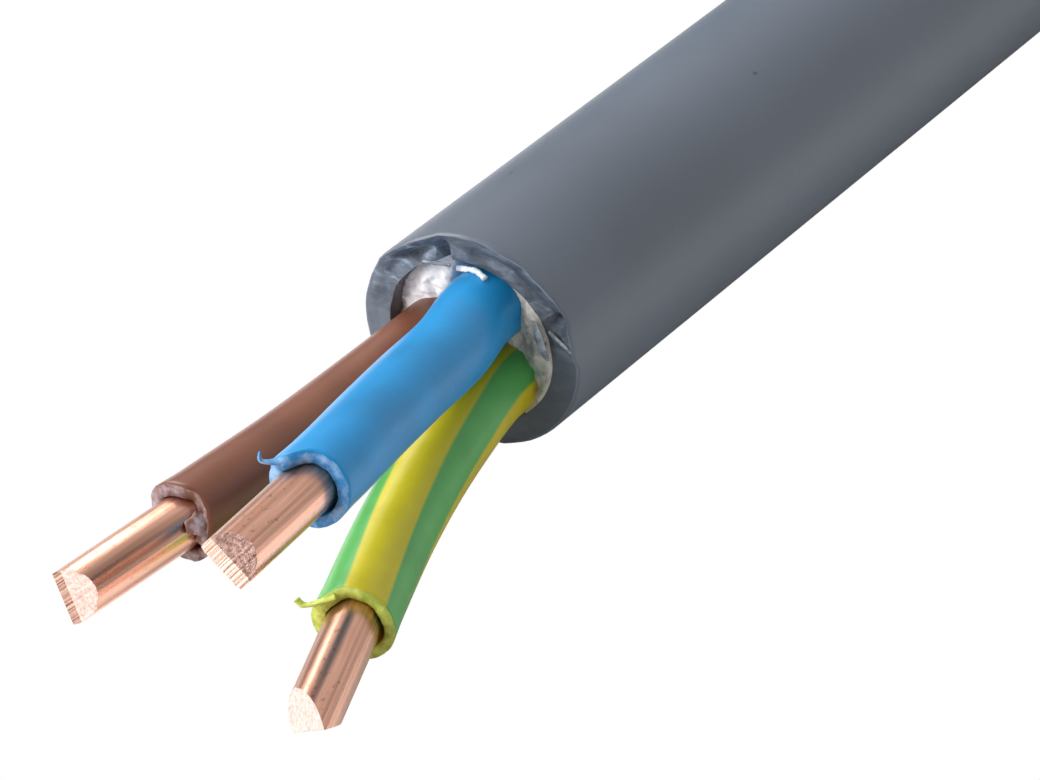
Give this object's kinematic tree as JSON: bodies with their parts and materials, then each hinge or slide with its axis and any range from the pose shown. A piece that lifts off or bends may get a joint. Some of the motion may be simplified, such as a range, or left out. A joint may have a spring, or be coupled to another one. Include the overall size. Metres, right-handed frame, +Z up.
{
  "type": "three-core electrical cable with stripped end",
  "caption": "Round sheathed electrical installation cable with its insulated cores and bare copper ends stripped, the rest wound in a tied coil.",
  "frame": {"origin": "on the floor, under the middle of the footprint of coil and stripped end", "axes": "+Z up, +Y from the stripped end back along the straight sheath to the coil, +X to the right seen from the stripped end"},
  "size_m": [0.1746, 0.2598, 0.0546],
  "materials": {
    "sheath": "satin slate grey soft plastic",
    "filler": "dry chalky off-white packing",
    "insulation_blue": "satin blue plastic",
    "insulation_brown": "satin brown plastic",
    "insulation_green_yellow": "satin plastic in green and yellow bands",
    "copper": "bright drawn copper",
    "tie": "black nylon"
  },
  "bodies": {
    "root": {"sheath_straight": "sheath", "sheath_coil": "sheath", "filler_right": "filler", "filler_bottom": "filler", "filler_top_left": "filler", "insulation_blue": "insulation_blue", "insulation_brown": "insulation_brown", "insulation_green_yellow": "insulation_green_yellow", "conductor_blue": "copper", "conductor_brown": "copper", "conductor_green_yellow": "copper", "coil_tie_1": "tie", "coil_tie_2": "tie", "coil_tie_3": "tie"}
  },
  "joints": []
}
